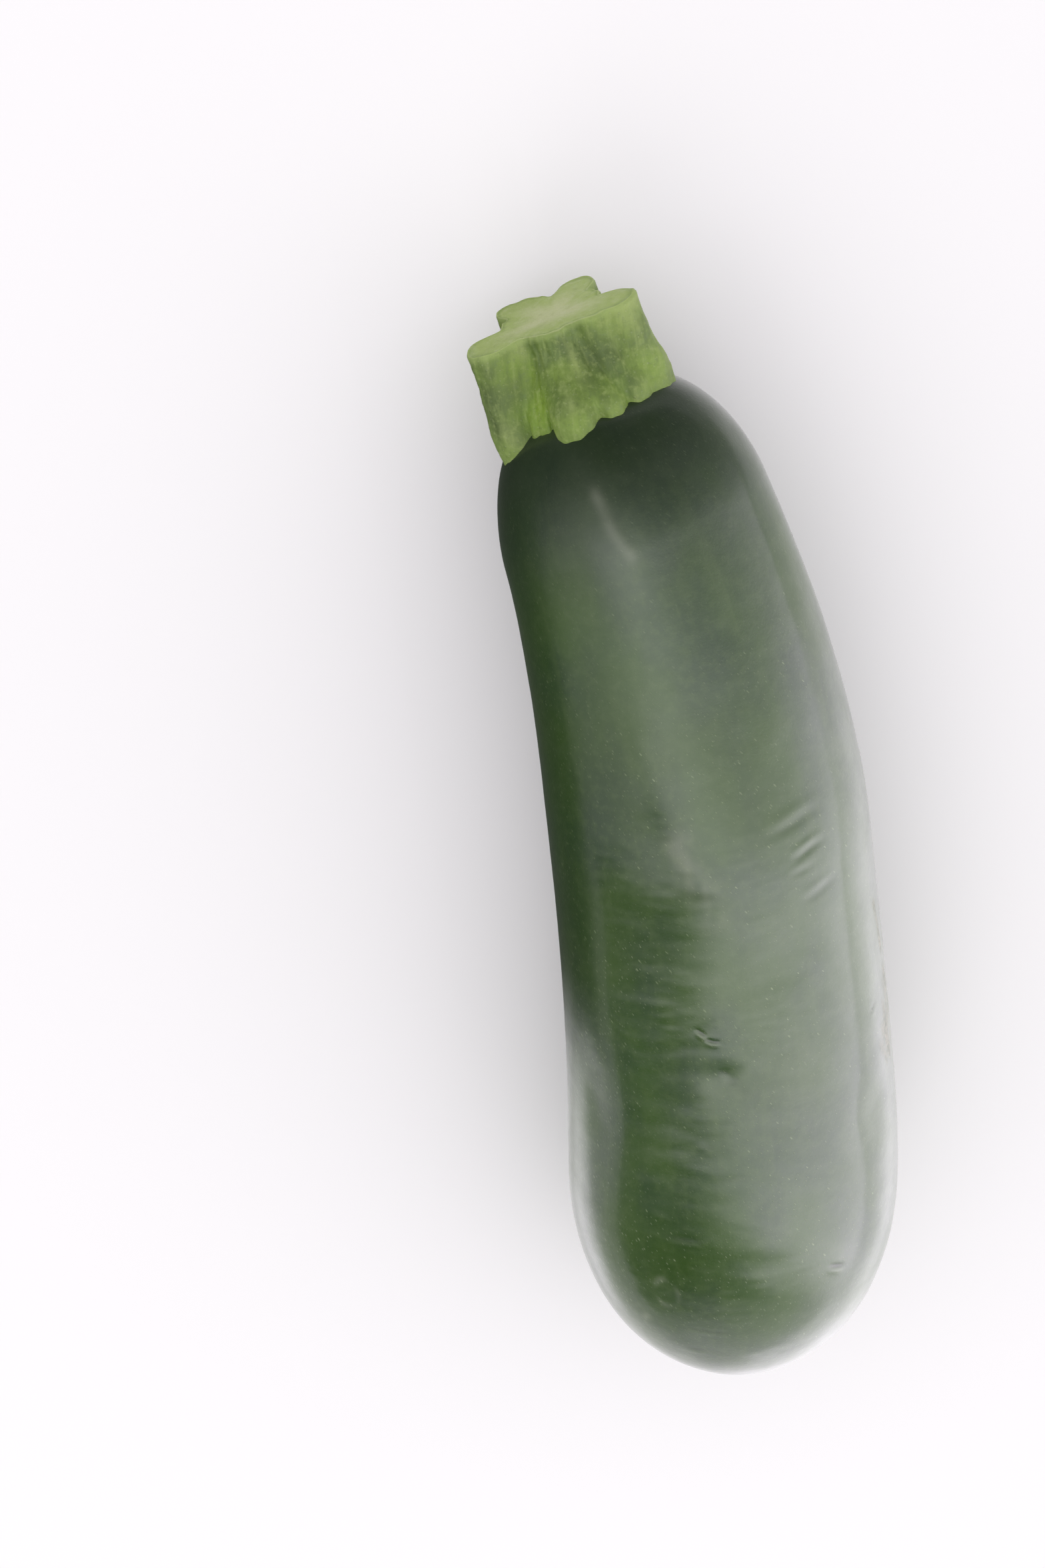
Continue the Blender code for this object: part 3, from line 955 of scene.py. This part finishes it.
def cork_scuffs_and_highlights(nodes, place, green, cork, scuff_and_highlight):
    grain = nodes.ramp(nodes.noise(place, 1500.0, 4.0, 0.7), 0.28, 0.72)
    specks = nodes.ramp(nodes.noise(place, 800.0, 3.0, 0.6), 0.36, 0.58, 0.20, 0.72)
    corky = nodes.mix(grain, DARK_CORK, PALE_CORK)
    green = nodes.mix(nodes.times(cork, specks), green, corky)
    # Pale scuffs, and painted highlights on the neck streak and the line above it.
    return nodes.mix(nodes.times(scuff_and_highlight, 0.50), green, SCUFF_AND_HIGHLIGHT)


def scar_on(nodes, place, green, scar):
    grain = nodes.ramp(nodes.noise(place, 700.0, 5.0, 0.7), 0.25, 0.75)
    colour = nodes.mix(grain, DARK_SCAR, PALE_SCAR)
    colour = nodes.mix(nodes.ramp(scar, 0.95, 0.45, 0.0, 0.7), colour, SCAR_RIM)
    return nodes.mix(nodes.ramp(scar, 0.05, 0.80, 0.0, 0.90), green, colour)


def make_skin_material():
    material = bpy.data.materials.new("zucchini_skin")
    nodes = Nodes(material)
    place = nodes.place()
    skin_place = nodes.add("ShaderNodeUVMap", {"uv_map": "places"}).outputs[0]
    along = nodes.parts(skin_place)[1]
    cork, scuff_and_highlight, scar = (nodes.number(name) for name in ("cork", "scuff_and_highlight", "scar"))
    groove_shade, lip_highlight = nodes.number("crease_shade"), nodes.number("lip")
    mottle = nodes.noise(place, 620.0, 3.0, 0.6)
    pores = nodes.noise(place, 2600.0, 2.0, 0.6)

    crowd = nodes.ramp(nodes.noise(place, 60.0, 1.0), 0.35, 0.65, 0.35, 1.0)
    crowd = nodes.times(crowd, nodes.ramp(along, 0.155, 0.110, 0.25, 1.0))
    small = nodes.times(flecks(nodes, skin_place, 0.0018, 0.0007, 0.16, 0.60), crowd)
    large = nodes.times(flecks(nodes, skin_place, 0.0042, 0.0016, 0.10, 0.35), crowd)

    green = skin_greens(nodes, place, skin_place, mottle)
    green = nodes.mix(nodes.times(small, 0.50), green, SMALL_FLECK)
    green = nodes.mix(nodes.times(large, 0.50), green, LARGE_FLECK)
    green = cork_scuffs_and_highlights(nodes, place, green, cork, scuff_and_highlight)
    green = scar_on(nodes, place, green, scar)
    # Painted highlight on the creases' lips and painted shade in their grooves.
    green = nodes.mix(nodes.times(lip_highlight, 0.30), green, CREASE_LIP_HIGHLIGHT)
    green = nodes.mix(nodes.times(groove_shade, 0.65), green, CREASE_SHADE)

    dull = nodes.math("MAXIMUM", nodes.math("MAXIMUM", cork, scuff_and_highlight), scar)
    gloss = nodes.ramp(nodes.noise(place, 130.0, 4.0, 0.6), 0.3, 0.7, 0.32, 0.44)
    rough = nodes.math("MULTIPLY_ADD", dull, 0.35, gloss)
    rough = nodes.math("MULTIPLY_ADD", small, 0.15, rough)
    height = nodes.math("MULTIPLY_ADD", pores, 0.30, nodes.times(mottle, 0.5))
    height = nodes.math("MULTIPLY_ADD", small, 0.5, height)
    relief = nodes.add("ShaderNodeBump", Strength=0.35, Distance=0.00022, Height=height)
    nodes.surface(
        Base_Color=green,
        Roughness=rough,
        Normal=relief,
        Specular_IOR_Level=0.38,
        Coat_Weight=0.8,
        Coat_Roughness=0.16,
        Sheen_Weight=0.06,
        Sheen_Roughness=0.40,
    )
    return material


def stem_side_colour(nodes, place, ridge, up, fine, dots):
    bright, dull, pale = (nodes.number(name) for name in ("bright", "dull", "pale"))
    patches = nodes.noise(place, 170.0, 2.0, 0.5)
    lines = nodes.noise(nodes.mapped(place, (1.0, 0.16, 1.0)), 900.0, 3.0, 0.6)
    low = nodes.times(nodes.ramp(up, 0.15, 0.55, 1.0, 0.0), nodes.ramp(ridge, 0.85, 0.5), 0.5)
    side = nodes.mix(nodes.ramp(patches, 0.36, 0.64), STEM_OLIVE, STEM_GREEN)
    for share, colour in (
        (nodes.ramp(ridge, 0.65, 1.0, 0.0, 0.30), STEM_RIDGE),
        (low, STEM_FOOT),
        # Painted shade in the valleys between the lobes.
        (nodes.ramp(ridge, 0.42, 0.15, 0.0, 0.4), STEM_VALLEY_SHADE),
        # Partly darker olive colour, partly painted shade.
        (nodes.times(dull, 0.80), STEM_DULL_AND_SHADE),
        (nodes.times(bright, 0.70), STEM_BRIGHT),
        (nodes.times(pale, 0.60), STEM_PALE),
        (nodes.ramp(lines, 0.48, 0.75, 0.0, 0.40), PALE_LINES),
        (nodes.ramp(lines, 0.48, 0.25, 0.0, 0.35), DARK_LINES),
        (nodes.ramp(fine, 0.50, 0.72, 0.0, 0.35), PALE_GRAIN),
        (nodes.ramp(fine, 0.48, 0.28, 0.0, 0.30), DARK_GRAIN),
        (nodes.times(dots, 0.12), STEM_DOTS),
        (nodes.ramp(up, 0.90, 1.0, 0.0, 0.60), STEM_BRIM),
    ):
        side = nodes.mix(share, side, colour)
    return side


def stem_face_colour(nodes, place, ridge):
    grain = nodes.noise(place, 700.0, 4.0, 0.65)
    face = nodes.mix(nodes.ramp(ridge, 0.15, 0.80), CUT_PITH, CUT_FLESH)
    face = nodes.mix(nodes.ramp(ridge, 0.88, 1.0, 0.0, 0.7), face, CUT_RIND)
    face = nodes.mix(nodes.ramp(grain, 0.45, 0.75, 0.0, 0.35), face, CUT_PALE)
    return nodes.mix(nodes.ramp(grain, 0.45, 0.25, 0.0, 0.35), face, CUT_DARK)


def make_stem_material():
    material = bpy.data.materials.new("zucchini_stem")
    nodes = Nodes(material)
    place = nodes.place()
    cut, ridge, up = (nodes.number(name) for name in ("cut", "ridge", "up"))
    fine = nodes.noise(place, 1100.0, 3.0, 0.65)
    cells = nodes.add("ShaderNodeTexVoronoi", Vector=place, Scale=1100.0, Randomness=1.0)
    dots = nodes.ramp(cells.outputs["Distance"], 0.08, 0.26, 1.0, 0.0)
    side = stem_side_colour(nodes, place, ridge, up, fine, dots)
    face = stem_face_colour(nodes, place, ridge)
    height = nodes.math("MULTIPLY_ADD", dots, 0.4, nodes.times(fine, 0.8))
    nodes.surface(
        Base_Color=nodes.mix(cut, side, face),
        Roughness=nodes.ramp(fine, 0.3, 0.7, 0.50, 0.68),
        Normal=nodes.add("ShaderNodeBump", Strength=0.4, Distance=0.0003, Height=height),
    )
    return material


def make_floor():
    """A plain pale floor. In the fruit's gloss it is as bright as the window that it mirrors, on the
    right, in front and in a band on the left, and dark beyond that band and past the stem."""
    corners = ((-1, -1), (1, -1), (1, 1), (-1, 1))
    points = np.array([(x * FLOOR_HALF, y * FLOOR_HALF, -FLOOR_DROP) for x, y in corners])
    floor = mesh_of("floor", points, [(0, 1, 2, 3)])
    material = bpy.data.materials.new("pale_floor")
    nodes = Nodes(material)
    place = nodes.place()
    x, y = nodes.parts(place)[:2]
    paths = nodes.add("ShaderNodeLightPath")
    glossy = paths.outputs["Is Glossy Ray"]
    right = nodes.times(
        nodes.ramp(x, 0.036, 0.095, 0.1, 1.75),
        nodes.ramp(y, -0.05, 0.075, 1.0, 0.12),
        nodes.ramp(y, -0.24, -0.13, 0.50, 1.0),
    )
    front = nodes.times(nodes.ramp(y, -0.100, -0.160, 0.0, 1.25), nodes.ramp(x, -0.05, 0.05))
    left = nodes.times(
        nodes.ramp(x, -0.040, -0.070, 0.0, 1.3),
        nodes.ramp(x, -0.090, -0.140, 1.0, 0.0),
        nodes.ramp(y, -0.025, -0.075),
        nodes.ramp(y, -0.15, -0.11),
    )
    bright = nodes.math("MAXIMUM", nodes.math("MAXIMUM", right, front), left)
    shaded = nodes.times(nodes.ramp(x, -0.07, -0.20), nodes.ramp(y, -0.10, -0.05, 0.30, 1.0))
    shaded = nodes.math("MAXIMUM", shaded, nodes.ramp(y, 0.085, 0.16, 0.0, 0.85))
    # Far off, the camera sees it fade into the backdrop.
    away = nodes.add("ShaderNodeVectorMath", {"operation": "LENGTH"}, Vector=place)
    gone = nodes.times(
        nodes.ramp(away.outputs["Value"], 0.35, 1.1), paths.outputs["Is Camera Ray"]
    )
    nodes.surface(
        Base_Color=nodes.mix(nodes.times(shaded, glossy), FLOOR_COLOUR, FLOOR_IN_SHADE),
        Roughness=0.6,
        Specular_IOR_Level=0.2,
        Emission_Color=FLOOR_GLOW,
        Emission_Strength=nodes.times(bright, glossy),
        Alpha=nodes.math("SUBTRACT", 1.0, gone),
    )
    floor.data.materials.append(material)


def glow(nodes, towards, comes_from, strength, narrowness):
    """Light that is strongest from one direction and fades smoothly round it."""
    round_from_x, up = (math.radians(degrees) for degrees in comes_from)
    flat = math.cos(up)
    centre = (math.cos(round_from_x) * flat, math.sin(round_from_x) * flat, math.sin(up))
    dot = nodes.add("ShaderNodeVectorMath", {"operation": "DOT_PRODUCT"})
    nodes.put(dot.inputs[0], towards)
    nodes.put(dot.inputs[1], centre)
    away = nodes.math("SUBTRACT", dot.outputs["Value"], 1.0)
    fade = nodes.math("EXPONENT", nodes.times(away, narrowness))
    return nodes.times(fade, strength)


def glossy_light(nodes, towards, x, y):
    """What the gloss mirrors: a big window low on the right, a smaller one overhead on the left,
    and a dark corner in front on the left."""
    window = glow(nodes, towards, WINDOW_FROM, WINDOW_STRENGTH, WINDOW_NARROWNESS)
    overhead = glow(nodes, towards, OVERHEAD_FROM, OVERHEAD_STRENGTH, OVERHEAD_NARROWNESS)
    gap = glow(nodes, towards, GAP_FROM, GAP_STRENGTH, GAP_NARROWNESS)
    corner = nodes.math("MULTIPLY_ADD", y, CORNER_SLANT, x)
    dark = nodes.times(
        nodes.ramp(corner, -1.37, -0.67, 1.0, 0.0),
        nodes.ramp(y, -0.31, -0.24, 1.0, 0.0),
        nodes.ramp(y, -0.95, -0.60, 0.70, 1.0),
    )
    return nodes.times(
        nodes.math("MINIMUM", nodes.math("ADD", window, overhead), BRIGHTEST_GLOSS),
        nodes.math("SUBTRACT", 1.0, dark),
        nodes.ramp(y, -0.02, 0.46, 1.0, 0.40),
        nodes.ramp(y, 0.55, 0.90, 1.0, 0.30),
        nodes.math("SUBTRACT", 1.0, gap),
    )


def make_world():
    """A pale room: even light on everything, its own light in the gloss, and a plain backdrop."""
    world = bpy.data.worlds.new("soft_room")
    bpy.context.scene.world = world
    nodes = Nodes(world)
    towards = nodes.add("ShaderNodeTexCoord").outputs["Generated"]
    x, y = nodes.parts(towards)[:2]
    paths = nodes.add("ShaderNodeLightPath")
    glossy = paths.outputs["Is Glossy Ray"]
    even = nodes.math("MULTIPLY_ADD", x, EVEN_LIGHT * LEAN_TO_THE_RIGHT, EVEN_LIGHT)
    strength = nodes.between(glossy, even, glossy_light(nodes, towards, x, y))
    strength = nodes.between(paths.outputs["Is Camera Ray"], strength, BACKDROP)
    cool = nodes.times(nodes.ramp(x, -0.20, 0.70), glossy)
    colour = nodes.mix(cool, ROOM_COLOUR, WINDOW_COLOUR)
    background = nodes.add("ShaderNodeBackground", Color=colour, Strength=strength)
    nodes.add("ShaderNodeOutputWorld", Surface=background)


def make_dark_card():
    """A dark card beside the fruit, seen only in its gloss, with soft ends and a soft top."""
    points = np.array([(x, y, z) for x, z in CARD_PROFILE for y in (CARD_NEAR, CARD_FAR)])
    card = mesh_of("dark_card", points, [(0, 1, 3, 2), (2, 3, 5, 4)])
    material = bpy.data.materials.new("dark_card")
    nodes = Nodes(material)
    y, z = nodes.parts(nodes.place())[1:3]
    top = CARD_PROFILE[-1][1]
    solid = nodes.times(
        nodes.ramp(y, CARD_NEAR, CARD_NEAR + CARD_SOFT_END),
        nodes.ramp(y, CARD_FAR, CARD_FAR - CARD_SOFT_END),
        nodes.ramp(z, top, top - CARD_SOFT_TOP),
    )
    nodes.surface(Base_Color=CARD_COLOUR, Roughness=0.8, Alpha=solid)
    card.data.materials.append(material)
    card.visible_camera = False
    card.visible_diffuse = False
    card.visible_shadow = False


def make_key_light():
    """A soft light high up in front on the left. The gloss doesn't show it."""
    light = bpy.data.lights.new("key", "AREA")
    light.shape = "DISK"
    light.size = KEY_SIZE
    light.energy = KEY_POWER
    obj = bpy.data.objects.new("key", light)
    bpy.context.scene.collection.objects.link(obj)
    obj.location = KEY_PLACE
    obj.rotation_euler = (-Vector(KEY_PLACE)).to_track_quat("-Z", "Y").to_euler()
    obj.visible_glossy = False


def make_camera():
    back = Vector((0, math.sin(CAMERA_TILT), math.cos(CAMERA_TILT)))
    level = Vector((1, 0, 0))
    ahead = Vector((0, math.cos(CAMERA_TILT), -math.sin(CAMERA_TILT)))
    right = math.cos(CAMERA_ROLL) * level + math.sin(CAMERA_ROLL) * ahead
    up = math.cos(CAMERA_ROLL) * ahead - math.sin(CAMERA_ROLL) * level
    placed = Matrix((right, up, back)).transposed().to_4x4()
    placed.translation = CAMERA_PLACE
    data = bpy.data.cameras.new("camera")
    data.lens = LENS_MM
    data.sensor_width = SENSOR_MM
    data.clip_start = 0.01
    obj = bpy.data.objects.new("camera", data)
    bpy.context.scene.collection.objects.link(obj)
    obj.matrix_world = placed
    bpy.context.scene.camera = obj


def set_view():
    """Colours are shown as they are."""
    view = bpy.context.scene.view_settings
    view.view_transform = "Standard"
    view.look = "None"
    view.exposure = 0.0
    view.gamma = 1.0


make_camera()
make_floor()
make_world()
make_dark_card()
make_key_light()
set_view()

skin, shift = make_skin()
skin.data.materials.append(make_skin_material())
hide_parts("fruit")
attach(skin, "root")

stem = make_stem(shift)
stem.data.materials.append(make_stem_material())
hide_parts("stem")
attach(stem, "root")
